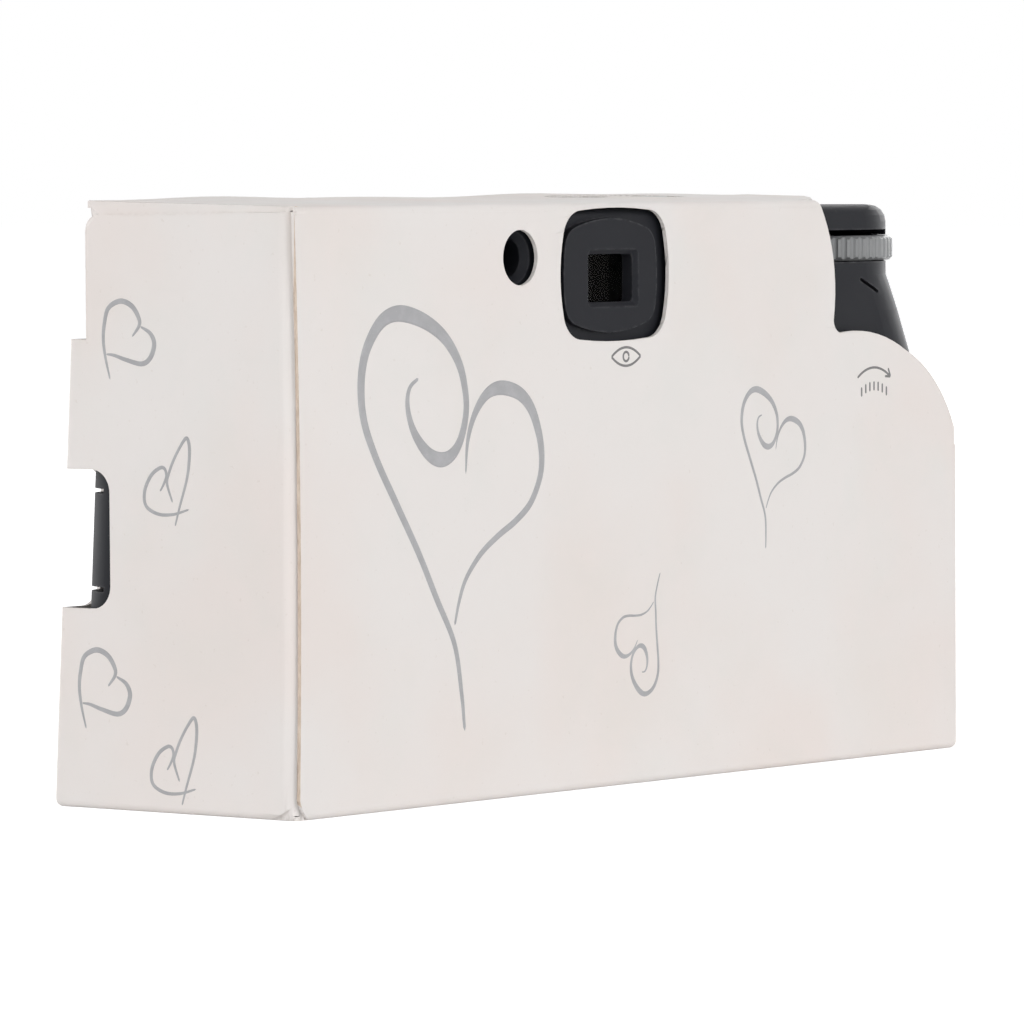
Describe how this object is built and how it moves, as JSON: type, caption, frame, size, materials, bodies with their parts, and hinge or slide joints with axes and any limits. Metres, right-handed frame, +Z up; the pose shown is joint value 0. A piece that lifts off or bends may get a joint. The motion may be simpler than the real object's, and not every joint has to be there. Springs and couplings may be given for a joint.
{
  "type": "disposable film camera",
  "caption": "Single-use 35 mm flash camera in a folded card sleeve, with a thumb winding wheel, shutter button, viewfinder and ready lamp.",
  "frame": {"origin": "on the floor, at the middle of the sleeve's foot", "axes": "+X towards the flash end, along the longest side; -Y is where the lens looks, +Y is the back with the eyepiece; +Z up"},
  "size_m": [0.1184, 0.0336, 0.064],
  "materials": {
    "card": "coated white card, matte",
    "body_plastic": "fine-textured black moulding",
    "frame_plastic": "matt black moulding",
    "black_plastic": "matt black moulding",
    "white_plastic": "natural acetal",
    "wheel_plastic": "mid-grey moulding",
    "button_plastic": "smooth dark moulding",
    "counter_plastic": "white dial",
    "clear_plastic": "clear acrylic",
    "can_steel": "lacquered tinplate",
    "film": "film base",
    "blade_metal": "blackened thin steel",
    "bright_aluminium": "bright reflector sheet",
    "tube_glass": "clear glass tube",
    "board": "resin board",
    "capacitor_sleeve": "shrink sleeve",
    "ferrite": "ferrite core and tape",
    "coil_copper": "enamelled copper",
    "contact_steel": "spring steel",
    "lamp_plastic": "tinted neon lamp",
    "battery_jacket": "plain battery jacket"
  },
  "bodies": {
    "camera": {"card_sleeve": "card", "front_cover": "body_plastic", "rear_cover": "body_plastic", "main_frame": "frame_plastic", "cassette_can": "can_steel", "cassette_caps": "can_steel", "film_strip": "film", "counter_post": "frame_plastic", "counter_window": "clear_plastic", "latch_post": "frame_plastic", "shutter_plate": "black_plastic", "striker_post": "frame_plastic", "lens_seat": "black_plastic", "taking_lens": "clear_plastic", "lens_retainer": "black_plastic", "viewfinder_tunnel": "black_plastic", "viewfinder_back_lens": "clear_plastic", "viewfinder_front_lens": "clear_plastic", "flash_window": "clear_plastic", "flash_reflector": "bright_aluminium", "flash_tube": "tube_glass", "flash_bracket": "frame_plastic", "flash_board": "board", "flash_capacitor": "capacitor_sleeve", "transformer": "ferrite", "trigger_coil": "coil_copper", "switch_leaf": "contact_steel", "ready_lamp": "lamp_plastic", "battery": "battery_jacket", "negative_contact": "contact_steel", "positive_contact": "contact_steel", "wheel_pawl": "contact_steel"},
    "winder": {"cassette_spool": "black_plastic", "thumbwheel": "wheel_plastic"},
    "supply": {"supply_spool": "black_plastic", "film_roll": "film"},
    "sprocket": {"drive_sprocket": "white_plastic", "shutter_cam": "white_plastic"},
    "counter": {"counter_disc": "counter_plastic"},
    "button": {"shutter_button": "button_plastic"},
    "latch": {"release_latch": "white_plastic"},
    "blade": {"shutter_blade": "blade_metal"},
    "striker": {"shutter_striker": "white_plastic"},
    "charger": {"charge_button": "button_plastic"}
  },
  "joints": [
    {"name": "wind", "type": "hinge", "parent": "camera", "child": "winder", "pos_m": [-0.04475, 0.00195, 0.0579], "axis": [0, 0, 1], "continuous": true},
    {"name": "supply_turn", "type": "hinge", "parent": "camera", "child": "supply", "pos_m": [0.0458, 0.00345, 0.028], "axis": [0, 0, 1], "continuous": true},
    {"name": "sprocket_turn", "type": "hinge", "parent": "camera", "child": "sprocket", "pos_m": [-0.0232, 0.0058, 0.042], "axis": [0, 0, 1], "continuous": true},
    {"name": "counter_turn", "type": "hinge", "parent": "camera", "child": "counter", "pos_m": [-0.0128, 0.003, 0.0588], "axis": [0, 0, 1], "continuous": true},
    {"name": "shutter_press", "type": "slide", "parent": "camera", "child": "button", "axis": [0, 0, -1], "range_m": [0, 0.0012], "stiffness_N_per_m": 900, "springref_m": -0.0005},
    {"name": "latch_turn", "type": "hinge", "parent": "camera", "child": "latch", "pos_m": [-0.016, -0.0054, 0.0525], "axis": [0, 0, 1], "range_deg": [0, 8]},
    {"name": "striker_swing", "type": "hinge", "parent": "camera", "child": "striker", "pos_m": [-0.011, -0.0056, 0.0506], "axis": [0, 0, 1], "range_deg": [0, 21.5], "stiffness_Nm_per_rad": 0.002, "springref_deg": -11.46},
    {"name": "blade_swing", "type": "hinge", "parent": "camera", "child": "blade", "pos_m": [-0.007, -0.0101, 0.0375], "axis": [0, 1, 0], "range_deg": [0, 21.5]},
    {"name": "charge_press", "type": "slide", "parent": "camera", "child": "charger", "axis": [0, 1, 0], "range_m": [0, 0.0009], "stiffness_N_per_m": 700, "springref_m": -0.0005}
  ],
  "couplings": [
    {"joint": "supply_turn", "follows": "wind", "ratio": 0.65},
    {"joint": "sprocket_turn", "follows": "wind", "ratio": 1},
    {"joint": "counter_turn", "follows": "wind", "ratio": -0.02778},
    {"joint": "latch_turn", "follows": "shutter_press", "rad_per_m": 115.86},
    {"joint": "blade_swing", "follows": "striker_swing", "ratio": 1}
  ]
}
